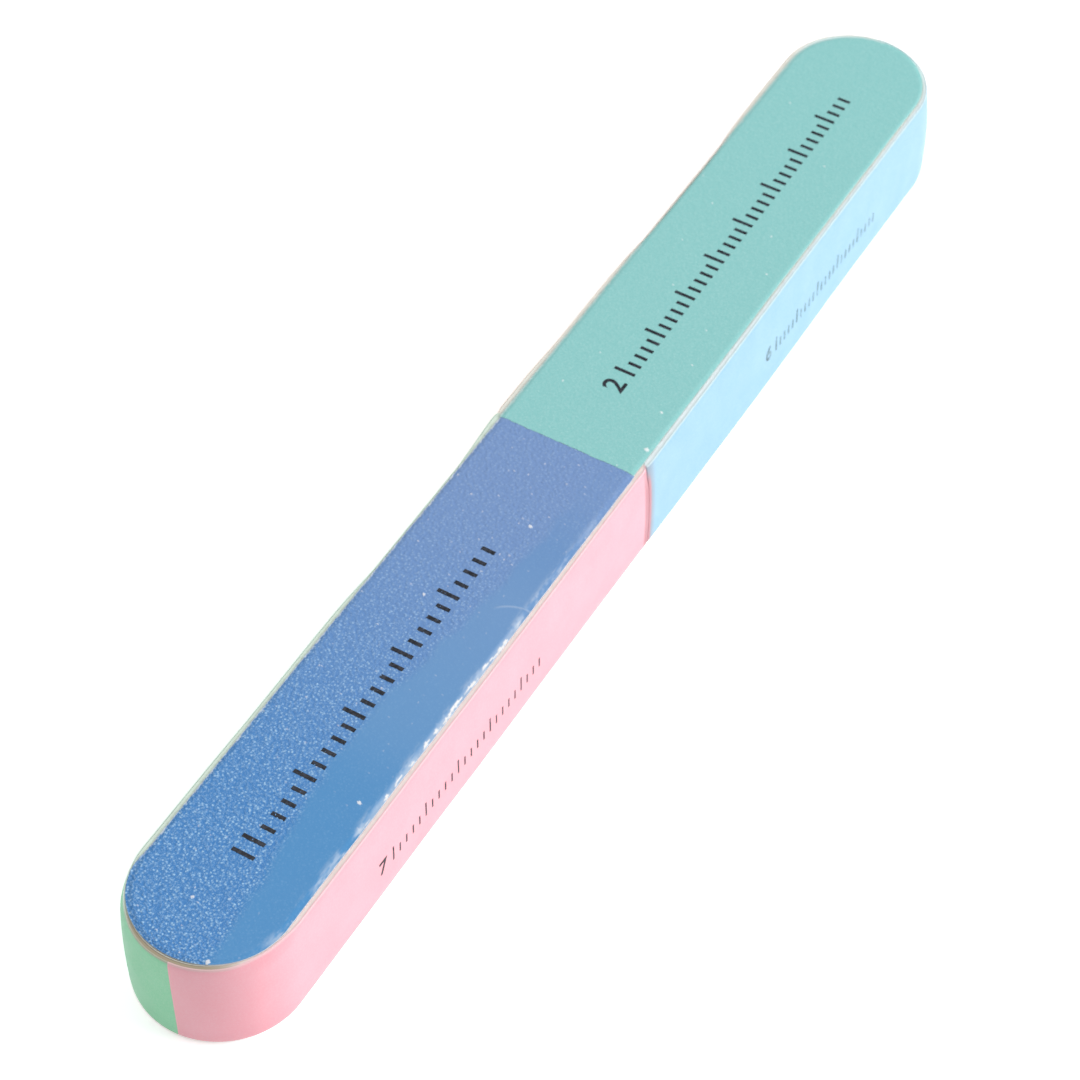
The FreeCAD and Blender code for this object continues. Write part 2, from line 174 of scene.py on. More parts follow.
class Finish:
    """A material's node tree, with short calls for the nodes used here."""

    def __init__(self, name):
        self.material = bpy.data.materials.new(name)
        self.material.use_nodes = True
        self.tree = self.material.node_tree
        self.tree.nodes.clear()
        self.surface = self.tree.nodes.new("ShaderNodeBsdfPrincipled")
        output = self.tree.nodes.new("ShaderNodeOutputMaterial")
        self.tree.links.new(self.surface.outputs["BSDF"], output.inputs["Surface"])
        self.where = self.tree.nodes.new("ShaderNodeTexCoord").outputs["Object"]

    def feed(self, socket, value):
        if isinstance(value, bpy.types.NodeSocket):
            self.tree.links.new(value, socket)
        elif isinstance(value, str):
            socket.default_value = linear(value)
        else:
            socket.default_value = value

    def set(self, **inputs):
        """Principled inputs. An underscore stands for a space."""
        for key, value in inputs.items():
            self.feed(self.surface.inputs[key.replace("_", " ")], value)
        return self

    def number(self, name):
        """The value that add_object stored at each point under this name."""
        node = self.tree.nodes.new("ShaderNodeAttribute")
        node.attribute_name = name
        return node.outputs["Fac"]

    def noise(self, pitch, detail=2.0, roughness=0.5, stretch=(1, 1, 1)):
        """Noise whose lumps are about pitch millimetres apart, from 0 to 1."""
        spread = self.tree.nodes.new("ShaderNodeMapping")
        self.feed(spread.inputs["Vector"], self.where)
        spread.inputs["Scale"].default_value = stretch
        node = self.tree.nodes.new("ShaderNodeTexNoise")
        self.feed(node.inputs["Vector"], spread.outputs["Vector"])
        node.inputs["Scale"].default_value = 1 / (pitch * MM)
        node.inputs["Detail"].default_value = detail
        node.inputs["Roughness"].default_value = roughness
        return node.outputs["Fac"]

    def cells(self, pitch):
        """Distance to the nearest of scattered points, which are about pitch apart."""
        node = self.tree.nodes.new("ShaderNodeTexVoronoi")
        self.feed(node.inputs["Vector"], self.where)
        node.inputs["Scale"].default_value = 1 / (pitch * MM)
        return node.outputs["Distance"]

    def axis(self, letter):
        """The point's X, Y or Z in metres."""
        node = self.tree.nodes.new("ShaderNodeSeparateXYZ")
        self.feed(node.inputs["Vector"], self.where)
        return node.outputs[letter]

    def ramp(self, value, low, high, start=0.0, end=1.0):
        """value's range low to high, as a smooth change from start to end."""
        node = self.tree.nodes.new("ShaderNodeMapRange")
        node.interpolation_type = "SMOOTHSTEP"
        self.feed(node.inputs["Value"], value)
        limits = {"From Min": low, "From Max": high, "To Min": start, "To Max": end}
        for key, number in limits.items():
            node.inputs[key].default_value = number
        return node.outputs["Result"]

    def maths(self, operation, a, b):
        node = self.tree.nodes.new("ShaderNodeMath")
        node.operation = operation
        self.feed(node.inputs[0], a)
        self.feed(node.inputs[1], b)
        return node.outputs["Value"]

    def mix(self, factor, a, b):
        """Colour a where factor is 0 and colour b where it is 1."""
        node = self.tree.nodes.new("ShaderNodeMix")
        node.data_type = "RGBA"
        self.feed(node.inputs["Factor"], factor)
        self.feed(node.inputs[6], a)
        self.feed(node.inputs[7], b)
        return node.outputs[2]

    def bump(self, height, depth, strength=1.0):
        """A normal from a height of 0 to 1, which stands for depth millimetres."""
        node = self.tree.nodes.new("ShaderNodeBump")
        self.feed(node.inputs["Height"], height)
        node.inputs["Distance"].default_value = depth * MM
        node.inputs["Strength"].default_value = strength
        self.set(Normal=node.outputs["Normal"])
        return self

    def paint(self, piece, slot):
        """Gives the piece this finish only. slot is not used."""
        piece.data.materials.clear()
        piece.data.materials.append(self.material)


# ---------------------------------------------------------------- grit sheets

# Spacing of the sheets' points: the upper sheets, then the underside's.
GRID_STEP = 0.146
FULL_SHEET_STEP = 0.205
# The last column of points stops this many degrees round a tip, just short of its end.
LAST_TIP_ANGLE = 88.6


def seam_jag(y):
    """How far the cut between the two upper sheets strays along X."""
    return 0.06 * soft_noise(y, y * 0, 1.9, 41) + 0.045 * soft_noise(y, y * 0, 0.35, 42)


def rim_distance(x, y):
    """Distance inwards from the sheet's outline."""
    past = np.maximum(np.abs(x) - TIP_CENTRE, 0)
    return SHEET_RADIUS - np.hypot(past, y)


def sheet_columns(x_from, x_to, step):
    """X and half width of each column of points, from one end of a sheet to the other.

    An end that isn't a tip is a straight cut.
    """
    angles = np.radians(np.linspace(0, LAST_TIP_ANGLE, round(SHEET_RADIUS * math.pi / 2 / step)))
    past, half = SHEET_RADIUS * np.sin(angles), SHEET_RADIUS * np.cos(angles)
    has_near_tip, has_far_tip = x_from < -TIP_CENTRE, x_to > TIP_CENTRE
    low = -TIP_CENTRE if has_near_tip else x_from
    high = TIP_CENTRE if has_far_tip else x_to
    xs = np.linspace(low, high, round((high - low) / step) + 1)
    widths = np.full(len(xs), SHEET_RADIUS)
    if has_near_tip:
        xs = np.concatenate([-TIP_CENTRE - past[:0:-1], xs])
        widths = np.concatenate([half[:0:-1], widths])
    if has_far_tip:
        xs = np.concatenate([xs, TIP_CENTRE + past[1:]])
        widths = np.concatenate([widths, half[1:]])
    return xs, widths


# The upper sheets stop a little short at the near tip and reach over at the far one.
NEAR_TIP_SHORTFALL, FAR_TIP_OVERHANG = 0.12, 0.2


def coarse_inset(x, side):
    """The coarse sheet reaches further out over the near tip's right shoulder."""
    if side == LEFT:
        return -0.07
    return 0.04 - 0.34 * smooth_step(-x, 77, 83)


def medium_inset(x, side):
    """The medium sheet runs slightly askew, and a stretch of its right edge is cut short."""
    if side == LEFT:
        return 0.04 + 0.16 * smooth_step(x, 15, 45)
    return -0.06 + 0.26 * np.exp(-(((x - 48) / 11) ** 4))


def fine_inset(x, side):
    return 0.06


def sheet_edge(widths, xs, side, inset, seed):
    """Half widths less the sheet's inset and the wander of a hand-cut edge."""
    slow = soft_noise(xs, xs * 0 + side * 7, 9.0, seed)
    quick = soft_noise(xs, xs * 0 + side * 7, 0.9, seed + 1)
    total = inset(xs, side) + 0.035 * slow + 0.02 * quick
    return widths - total * widths / SHEET_RADIUS


# The paper edge in section: share of the way to the back, and bulge.
PAPER_EDGE = (0.1, 0.015), (0.45, 0.03), (0.8, 0.01), (1.0, -0.02)


def paper_walls(points, ring, back_z, seed):
    """The paper edge's points, level by level, and its faces from the rim down to the back."""
    outward = outward_directions(points[ring, :2])
    previous, levels, faces = ring, [], []
    for part, bulge in PAPER_EDGE:
        level = points[ring].copy()
        level[:, 2] += (back_z - level[:, 2]) * part
        ragged = soft_noise(level[:, 0] + level[:, 1], level[:, 2], 0.35, seed + 5)
        level[:, :2] += outward * (bulge + 0.012 * ragged)[:, None]
        current = len(points) + len(ring) * len(levels) + np.arange(len(ring))
        walls = [previous, np.roll(previous, -1), np.roll(current, -1), current]
        faces += np.stack(walls, -1).tolist()
        levels.append(level)
        previous = current
    faces.append(previous.tolist())
    return levels, faces


def grit_sheet(name, ends, heights, step, relief, inset, seed):
    """A sheet whose grain stands out from its face, with a paper edge down to its back.

    ends are the X where it starts and stops, and heights those of its face and back.
    relief(x, y) returns the grain's height at each point and the material's numbers.
    """
    x_from, x_to = ends
    face_z, back_z = heights
    xs, widths = sheet_columns(x_from, x_to, step)
    across = round(2 * SHEET_RADIUS / step) + 1
    t = np.linspace(-1, 1, across)
    is_upper = face_z > back_z
    left = sheet_edge(widths, xs, LEFT, inset, seed)
    right = sheet_edge(widths, xs, RIGHT, inset, seed)
    if is_upper:
        xs = xs + NEAR_TIP_SHORTFALL * np.clip((-TIP_CENTRE - xs) / SHEET_RADIUS, 0, 1) ** 4
        xs = xs + FAR_TIP_OVERHANG * np.clip((xs - TIP_CENTRE) / SHEET_RADIUS, 0, 1) ** 2
    x = np.repeat(xs[:, None], across, 1)
    y = np.where(t < 0, t * left[:, None], t * right[:, None])
    for cut, is_cut in ((x_from, x_from > -TIP_CENTRE), (x_to, x_to < TIP_CENTRE)):
        if is_cut:
            x = x + seam_jag(y) * (1 - smooth_step(np.abs(x - cut), 0, 2.0))
    height, values = relief(x, y)
    z = face_z + (1 if is_upper else -1) * height
    points = np.stack([x, y, z], -1).reshape(-1, 3)
    faces = grid_faces(len(xs), across)
    index = np.arange(len(xs) * across).reshape(len(xs), across)
    ring = np.concatenate([index[0, :-1], index[:-1, -1], index[-1, :0:-1], index[:0:-1, 0]])
    levels, walls = paper_walls(points, ring, back_z, seed)
    numbers = {}
    for key, number in values.items():
        on_walls = np.full(len(ring) * len(levels), 1.0 if key == "paper" else 0.0)
        numbers[key] = np.concatenate([number.ravel(), on_walls])
    return add_object(name, np.vstack([points, *levels]), faces + walls, numbers)


def outward_directions(ring):
    """Unit vectors that point out of a closed ring of points, in the plane."""
    along = np.roll(ring, -1, 0) - np.roll(ring, 1, 0)
    sideways = np.stack([along[:, 1], -along[:, 0]], -1)
    sideways /= np.maximum(np.linalg.norm(sideways, axis=1), 1e-9)[:, None]
    centre = ring.mean(0)
    if np.sum((ring - centre) * sideways) < 0:
        sideways = -sideways
    return sideways


# The worn, smoother zone along the left edge of the coarse sheet.
WORN_EDGE_Y = -5.2
WORN_BULGE = 3.8
WORN_BULGE_X = -54.0
WORN_BULGE_REACH = 22.0


def worn_amount(x, y):
    """1 where the coarse grain is worn smooth and 0 where it is fresh."""
    bulge = WORN_BULGE * np.exp(-(((x - WORN_BULGE_X) / WORN_BULGE_REACH) ** 2))
    edge = WORN_EDGE_Y + bulge + 0.5 * soft_noise(x, y, 3.0, 51)
    across = 1 - smooth_step(y, edge - 0.9, edge + 0.8)
    return across * (1 - 0.75 * smooth_step(x, -22, -4))


# Where coarse grit has chipped off the left rim, down to the white paper.
CHIP_FROM, CHIP_TO = -66.0, -26.0
# Larger bare flecks, as centre and radius: on the coarse sheet, at its tip and on the medium one.
LARGE_FLECKS = ((-81.0, 1.6, 0.2), (-60.6, -7.5, 0.27), (-30.6, 2.5, 0.24), (-14.7, -3.0, 0.26))
TIP_CHIP = (-87.2, -4.75, 0.33)
MEDIUM_FLECKS = ((10.3, -7.6, 0.2), (3.8, -9.1, 0.3))
CREASE_X, CREASE_Y, CREASE_RADIUS = -31.9, -9.9, 5.6
# How deep each sheet's grain is.
COARSE_DEPTH, MEDIUM_DEPTH, FINE_DEPTH = 0.15, 0.045, 0.03
# The coarse coat turns towards violet from one X to another.
VIOLET_FROM, VIOLET_TO = -72.0, -6.0


def fleck(x, y, spots):
    """1 inside any of the ragged spots, which are given as centre and radius."""
    best = np.zeros_like(x)
    for cx, cy, radius in spots:
        ragged = radius * (1 + 0.45 * soft_noise(x, y, radius * 0.6, 61))
        best = np.maximum(best, 1 - smooth_step(np.hypot(x - cx, y - cy), ragged * 0.8, ragged))
    return best


def chipped_stretch(x):
    """1 along the stretch of the left rim whose coat has chipped."""
    return smooth_step(x, CHIP_FROM, CHIP_FROM + 6) * (1 - smooth_step(x, CHIP_TO - 6, CHIP_TO))


def rim_chips(x, y):
    """1 where the coat is off, in a broken and ragged streak just inside the left rim."""
    rim = rim_distance(x, y)
    streak = 0.13 + 0.14 * soft_noise(x, x * 0, 2.4, 62)
    width = 0.09 + 0.16 * soft_noise(x, x * 0 + 1, 1.1, 63) + 0.1 * soft_noise(x, y * 3, 0.35, 64)
    return np.clip((width - np.abs(rim - streak)) / 0.08, 0, 1) * chipped_stretch(x) * (y < 0)


def crease_line(x, y):
    """1 along a faint curved crease across the worn zone."""
    off_line = np.abs(np.hypot(x - CREASE_X, y - CREASE_Y) - CREASE_RADIUS)
    upper_end = 1 - smooth_step(y, -6.6, -5.4)
    return (1 - smooth_step(off_line, 0.03, 0.2)) * upper_end * (x > -31)


def paper_margin(x, y):
    """1 where the coat stops short of the sheet's cut edge."""
    slow = soft_noise(x + y, x - y, 1.7, 66)
    quick = soft_noise(x + y, x - y, 0.3, 67)
    ragged = 0.08 + 0.09 * slow + 0.09 * quick
    ragged = ragged * (y > 0) - 0.2 * (y <= 0)
    return 1 - smooth_step(rim_distance(x, y), ragged, ragged + 0.12)


def coarse_relief(x, y):
    """Deep grain that is worn and chipped along the left rim, with a hazy rim and a crease."""
    rim = rim_distance(x, y)
    worn = worn_amount(x, y)
    grain = cell_bumps(x, y, 0.37, 71, reach=0.62)
    fine = cell_bumps(x, y, 0.24, 72, reach=0.62)
    grain = 0.6 * grain + 0.4 * fine
    specks = cell_bumps(x, y, 0.9, 73, reach=0.17, share=0.06)
    specks = smooth_step(specks, 0.1, 0.7) * (1 - 0.6 * worn)
    chips = np.maximum(rim_chips(x, y), 0.8 * fleck(x, y, LARGE_FLECKS + (TIP_CHIP,)))
    depth = COARSE_DEPTH * (1 - 0.93 * worn)
    height = depth * (grain - 0.5) + 0.03 * specks
    height += 0.012 * soft_noise(x, y, 2.2, 74) * worn
    height = np.where(chips > 0.5, 0.02 + 0.03 * soft_noise(x, y, 0.3, 75), height)
    height -= 0.16 * (1 - smooth_step(rim, 0, 0.7))
    crease = crease_line(x, y)
    height += 0.05 * crease
    streaks = 0.6 * soft_noise(x, y * 3, 2.2, 76) + 0.4 * soft_noise(x * 1.4, y * 5, 0.7, 77)
    haze = (1 - smooth_step(rim, 0.1, 1.3)) * (y < 0) * smooth_step(streaks, -0.25, 0.6)
    haze = haze * (1 - 0.6 * smooth_step(x, -24, -8)) * smooth_step(x, -85, -79)
    beside_chips = (1 - smooth_step(rim, 0.1, 0.8)) * chipped_stretch(x) * (y < 0)
    haze = np.maximum(haze, beside_chips * (0.8 + 0.4 * streaks))
    haze = haze + 0.09 * worn * smooth_step(x, -60, -48) * (1 - smooth_step(x, -28, -16))
    values = {"grain": grain, "bare": np.maximum(chips, 0.55 * specks), "worn": worn}
    values["paper"] = paper_margin(x, y) * smooth_step(x, -82, -76)
    values["haze"] = np.maximum(haze, 0.6 * crease)
    return height, values


def medium_relief(x, y):
    rim = rim_distance(x, y)
    grain = 0.6 * cell_bumps(x, y, 0.3, 81) + 0.4 * cell_bumps(x, y, 0.19, 82)
    specks = 0.8 * cell_bumps(x, y, 1.6, 83, reach=0.09, share=0.03)
    specks = np.maximum(smooth_step(specks, 0.15, 0.3), fleck(x, y, MEDIUM_FLECKS))
    height = MEDIUM_DEPTH * (grain - 0.5) + 0.02 * specks - 0.14 * (1 - smooth_step(rim, 0, 0.6))
    values = {"grain": grain, "bare": specks, "worn": x * 0, "haze": x * 0}
    values["paper"] = 0.7 * paper_margin(x, y)
    return height, values


def fine_relief(x, y):
    rim = rim_distance(x, y)
    grain = cell_bumps(x, y, 0.42, 91)
    height = FINE_DEPTH * (grain - 0.5) - 0.14 * (1 - smooth_step(rim, 0, 0.6))
    values = {"grain": grain, "bare": x * 0, "worn": x * 0, "haze": x * 0}
    values["paper"] = 0.7 * paper_margin(x, y)
    return height, values


def grit_finish(name, colours, dot_pitch, dot_share, tints=None):
    """An abrasive coat on paper: grain with bright grit and painted glints, bare paper and worn
    zones.

    colours are the coat's valleys and peaks, bare paper and the sheet's cut edge; the dark valleys
    and pale peaks are partly painted shade and light. tints are those of the worn zone and of the
    seam's end.
    """
    valley, peak, bare, cut = colours
    look = Finish(name)
    worn = look.number("worn")
    # Painted glints: fine noise and scattered dots lift the grain's colour towards the peak colour.
    glints = look.ramp(look.noise(0.13, 1.0, 0.6), 0.3, 0.75, -0.3, 0.35)
    grain = look.ramp(look.maths("ADD", look.number("grain"), glints), 0.1, 1.0, 0.0, 1 - dot_share)
    glint_dots = look.ramp(look.cells(dot_pitch), 0.12, 0.42, dot_share, 0.0)
    # The colour follows the grain's height: partly the grit's own tone, partly painted shade in
    # valleys and painted light on peaks.
    coat = look.mix(look.maths("ADD", grain, glint_dots), valley, peak)
    if tints:
        flat, violet = tints
        coat = look.mix(look.maths("MULTIPLY", worn, 0.9), coat, flat)
        towards_seam = look.ramp(look.axis("X"), VIOLET_FROM * MM, VIOLET_TO * MM, 0.0, 0.75)
        share = look.maths("MULTIPLY", towards_seam, look.ramp(worn, 0, 1, 1.0, 0.75))
        coat = look.mix(share, coat, violet)
    coat = look.mix(look.maths("MULTIPLY", look.number("haze"), 0.5), coat, "dfeaf5")
    coat = look.mix(look.number("bare"), coat, bare)
    coat = look.mix(look.number("paper"), coat, cut)
    look.set(Base_Color=coat, Roughness=look.ramp(worn, 0, 1, 0.62, 0.4), Specular_IOR_Level=0.35)
    return look.bump(look.noise(0.09, 2), 0.02, 0.6)


def make_grit_sheets():
    """The two upper sheets and the one on the underside."""
    coarse_x, coarse_z = (COARSE_LOW[0], COARSE_HIGH[0]), (TOP, COARSE_LOW[2])
    medium_x, medium_z = (MEDIUM_LOW[0], MEDIUM_HIGH[0]), (TOP, MEDIUM_LOW[2])
    fine_x, fine_z = (FINE_LOW[0], FINE_HIGH[0]), (FINE_LOW[2], FINE_HIGH[2])
    # grade, ends in X, heights of face and back, point spacing, relief, inset and seed
    sheets = (
        ("coarse", coarse_x, coarse_z, GRID_STEP, coarse_relief, coarse_inset, 101),
        ("medium", medium_x, medium_z, GRID_STEP, medium_relief, medium_inset, 111),
        ("fine", fine_x, fine_z, FULL_SHEET_STEP, fine_relief, fine_inset, 121),
    )
    coarse = "4282c3", "b5dcf8", "f8f8f8", "d3dfea"
    medium = "8acac8", "a2d7d5", "f2f8f8", "c8ddda"
    fine = "b3a5d6", "d7ccee", "f2eff6", "c9c1d7"
    looks = {
        "coarse": grit_finish("coarse_coat", coarse, 0.46, 0.55, ("4f92c9", "829bc9")),
        "medium": grit_finish("medium_coat", medium, 0.4, 0.4),
        "fine": grit_finish("fine_coat", fine, 0.5, 0.4),
    }
    for grade, ends, heights, step, relief, inset, seed in sheets:
        piece = grit_sheet(f"{grade}_grit_face", ends, heights, step, relief, inset, seed)
        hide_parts(f"{grade}_grit_sheet")
        looks[grade].paint(piece, f"{grade}_grit")


# ---------------------------------------------------------------- the edge strips

# Spacing of the strips' points along the edge.
PATH_STEP = 0.34
# The films of a tip meet this many degrees from its end.
COLOUR_CHANGE_ANGLE = 7.0
# How much longer the far strips are here than in the CAD, to close its gap at the joints.
JOINT_PRESS = 0.33
# How far the face rolls in at its top and bottom rims, and over what height.
TOP_ROLL_DEPTH, TOP_ROLL_REACH = 0.12, 0.9
LOW_ROLL_DEPTH, LOW_ROLL_REACH = 0.07, 0.6


def edge_path(end_side, y_side, start_x, turn, back_x=None):
    """Points along the core's side: a long side, round the tip and maybe back along the other.

    turn is the angle round the tip in degrees, and back_x the X where the way back stops. Returns
    each point's X on the tips' centre line, its outward direction as x and y, and its distance
    from the start.
    """
    centre = TIP_CENTRE * end_side
    xs = np.linspace(start_x, centre, round(abs(centre - start_x) / PATH_STEP) + 1)
    axis = list(xs)
    nx, ny = [0.0] * len(xs), [float(y_side)] * len(xs)
    steps = round(math.radians(turn) * BAND_FACE / PATH_STEP)
    for angle in np.radians(np.linspace(0, turn, steps + 1))[1:]:
        axis.append(centre)
        nx.append(math.sin(angle) * end_side)
        ny.append(math.cos(angle) * y_side)
    if back_x is not None:
        back = np.linspace(centre, back_x, round(abs(centre - back_x) / PATH_STEP) + 1)[1:]
        axis += list(back)
        nx += [0.0] * len(back)
        ny += [float(-y_side)] * len(back)
    axis, nx, ny = np.array(axis), np.array(nx), np.array(ny)
    px, py = axis + nx * BAND_FACE, ny * BAND_FACE
    distance = np.concatenate([[0], np.cumsum(np.hypot(np.diff(px), np.diff(py)))])
    return axis, nx, ny, distance


def band_curve():
    """The CAD film's face in section: its distance from the axis, as a parabola over height."""
    farthest = {}
    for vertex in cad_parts["buffing_band"].data.vertices:
        x, y, z = np.array(vertex.co) / MM
        if x > TIP_CENTRE:
            level = round(float(z), 2)
            reach = math.hypot(x - TIP_CENTRE, y)
            farthest[level] = max(reach, farthest.get(level, 0))
    heights, reaches = zip(*sorted(farthest.items()))
    return np.polyfit(heights, reaches, 2)


BAND_CURVE = band_curve()


def face_distance(z):
    """The edge face's distance from the axis at each height, rolled in at both rims."""
    z = np.asarray(z, float)
    top = np.clip(1 - (EDGE_HIGH - z) / TOP_ROLL_REACH, 0, 1) ** 2
    low = np.clip(1 - (z - EDGE_LOW) / LOW_ROLL_REACH, 0, 1) ** 2
    return np.polyval(BAND_CURVE, z) - TOP_ROLL_DEPTH * top - LOW_ROLL_DEPTH * low


# Where a rim of the hand-wrapped strips strays from the straight: X, reach, shift, side and rim.
RIM_SHIFTS = (
    (-20.5, 13.0, -0.5, RIGHT, "top"),
    (47.5, 12.5, -0.6, RIGHT, "top"),
    (4.0, 8.0, 0.24, RIGHT, "top"),
    (78.0, 12.0, 0.16, RIGHT, "top"),
    (-45.0, 32.0, 0.1, LEFT, "top"),
    (-82.5, 3.6, -0.3, LEFT, "lip"),
    (-84.5, 4.5, -0.26, RIGHT, "lip"),
    (62.0, 38.0, -0.2, LEFT, "top"),
    (27.0, 22.0, 0.15, LEFT, "low"),
    (-70.0, 20.0, -0.1, LEFT, "low"),
)
# A dent leaves at least this much foam.
LEAST_FOAM = 0.02
# How far the near tip's line between two films leans over, at its foot and at its top.
SLANT_LOW, SLANT_HIGH = 0.2, 0.47
# The near tip is pressed a little flat round this angle, in degrees.
TIP_FLAT_ANGLE, TIP_FLAT_REACH, TIP_FLAT_DEPTH = 172.0, 24.0, 0.34


def edge_waves(px, py, z):
    """How far the strips' face strays outwards at each point of the edge."""
    slow = soft_noise(px + 3 * np.sign(py), z * 0.4, 13.0, 201)
    waves = 0.04 * slow + 0.012 * soft_noise(px + py, z, 2.6, 202)
    heights = {
        "top": smooth_step(z, MID_HEIGHT, EDGE_HIGH),
        "lip": smooth_step(z, 12.6, EDGE_HIGH),
        "low": 1 - smooth_step(z, EDGE_LOW, MID_HEIGHT),
    }
    for x, reach, shift, side, rim in RIM_SHIFTS:
        along = np.exp(-(((px - x) / reach) ** 4)) * smooth_step(py * side, 0, 5)
        waves = waves + shift * along * heights[rim]
    angle = np.degrees(np.arctan2(py, px + TIP_CENTRE)) % 360
    flat = np.exp(-(((angle - TIP_FLAT_ANGLE) / TIP_FLAT_REACH) ** 2)) * (px < -TIP_CENTRE)
    belly = np.clip(1 - ((z - MID_HEIGHT) / MID_HEIGHT) ** 2, 0, 1)
    waves = waves - TIP_FLAT_DEPTH * flat * belly
    foam_left = face_distance(z) - BAND_THICKNESS - FOAM_BACK
    return np.maximum(waves, LEAST_FOAM - foam_left)


def slant(x, y, z):
    """Turns the near tip's points a little, so that the two films there meet on a slant."""
    angle = np.arctan2(y, -(x + TIP_CENTRE))
    share = np.exp(-((angle / 0.5) ** 2)) * (x < -TIP_CENTRE)
    shift = SLANT_LOW + (SLANT_HIGH - SLANT_LOW) * smooth_step(z, EDGE_LOW, EDGE_HIGH)
    turn = -shift * share / BAND_FACE
    cos, sin = np.cos(turn), np.sin(turn)
    across, along = x + TIP_CENTRE, y
    return across * cos - along * sin - TIP_CENTRE, across * sin + along * cos


def fold_in(z):
    """How strongly a strip's end turns in at each height: most of all at the top."""
    return 0.25 + 0.75 * smooth_step(z, 10.5, 14.2)


def end_rounding(distance, length, depth_start, depth_end, reach):
    """How far the face pulls in near a strip's two ends."""
    total = np.zeros_like(distance)
    for gap, depth in ((distance, depth_start), (length - distance, depth_end)):
        t = np.clip(1 - gap / reach, 0, 1)
        total += depth * (1 - np.sqrt(np.clip(1 - t * t, 0, 1)))
    return total


def strip(name, path, ring, pull, values=None):
    """Sweeps a ring of (distance from the axis, height) round a path, and closes both ends."""
    axis, nx, ny, distance = path
    offsets, heights = ring
    rows = []
    for a, x, y, p in zip(axis, nx, ny, pull):
        wave = edge_waves(a + x * BAND_FACE, np.full_like(heights, y * BAND_FACE), heights)
        foam = face_distance(heights) - BAND_THICKNESS - FOAM_BACK
        grip = np.clip((offsets - FOAM_BACK) / foam, 0, 1)
        out = offsets + np.maximum(wave - p * fold_in(heights), LEAST_FOAM - foam) * grip
        place_x, place_y = slant(a + x * out, y * out, heights)
        rows.append(np.stack([place_x, place_y, heights], -1))
    points = np.vstack(rows)
    count, around = len(axis), len(heights)
    faces = grid_faces(count, around, closed=True)
    faces += end_cap(range(around)) + end_cap(range((count - 1) * around, count * around))
    numbers = {key: np.tile(value, count) for key, value in (values or {}).items()}
    if numbers:
        start, stop = END_SHADE[name.split("_")[0]]
        numbers["end"] = np.repeat(1 - smooth_step(distance, start, stop), around)
    return add_object(name, points, faces, numbers, sharp_angle=38)


def end_cap(ring):
    """Quads across a closed ring of an even number of points, which is as long as it is thin."""
    ring = list(ring)
    low, high = 0, len(ring) - 1
    faces = []
    while high - low > 1:
        faces.append([ring[low], ring[low + 1], ring[high - 1], ring[high]])
        low, high = low + 1, high - 1
    return faces


# Where the painted shade on each film's end starts to fade and where it has faded, from the joint.
END_SHADE = {
    "polishing": (1.1, 1.25),
    "smoothing": (0.5, 0.8),
    "buffing": (0.2, 1.9),
    "refining": (0.2, 1.0),
}
# Painted shade: the near tip's rim turns this darker brown, from one X to another.
TIP_SHADE_COLOUR, TIP_SHADE_FROM, TIP_SHADE_TO = "a89c86", -88.2, -84.2
# Points up a strip's face.
FILM_ROWS = 44
# How much a film thins at its rim, and how far below that rim the foam's ledge is at its back.
FILM_EDGE_THIN, FOAM_SUNK = 0.02, 0.07
# The films are darkened round the near tip as painted shade, from one X to another.
FILM_SHADE_FROM, FILM_SHADE_TO = -89.5, -80.0
# The painted shade on a film's folded end is lighter from this height up.
FOLD_SHADE_HEIGHT = 11.0


def film_ring():
    """A film's cross-section: up its face, over its cut edge and down its back."""
    z = MID_HEIGHT + (EDGE_HIGH - MID_HEIGHT) * np.sin(np.linspace(-1, 1, FILM_ROWS) * math.pi / 2)
    face = face_distance(z)
    half = (EDGE_HIGH - EDGE_LOW) / 2
    near_rim = np.clip(1 - (half - np.abs(z - MID_HEIGHT)) / TOP_ROLL_REACH, 0, 1)
    back = face - BAND_THICKNESS + FILM_EDGE_THIN * near_rim
    offsets = np.concatenate([face, back[::-1]])
    heights = np.concatenate([z, z[::-1]])
    cut = np.zeros(len(z) * 2)
    cut[len(z) :] = 1
    return offsets, heights, cut


def foam_ring():
    """A foam strip's cross-section: its crowned face, its two ledges and its flat back."""
    z = MID_HEIGHT + (EDGE_HIGH - MID_HEIGHT) * np.sin(np.linspace(-1, 1, FILM_ROWS) * math.pi / 2)
    face = face_distance(z) - BAND_THICKNESS - 0.01
    z = np.clip(z, EDGE_LOW + 0.03, EDGE_HIGH - 0.03)
    back_z = np.linspace(EDGE_HIGH - FOAM_SUNK, EDGE_LOW + FOAM_SUNK, FILM_ROWS)
    offsets = np.concatenate([face, np.full(FILM_ROWS, FOAM_BACK)])
    heights = np.concatenate([z, back_z])
    return offsets, heights


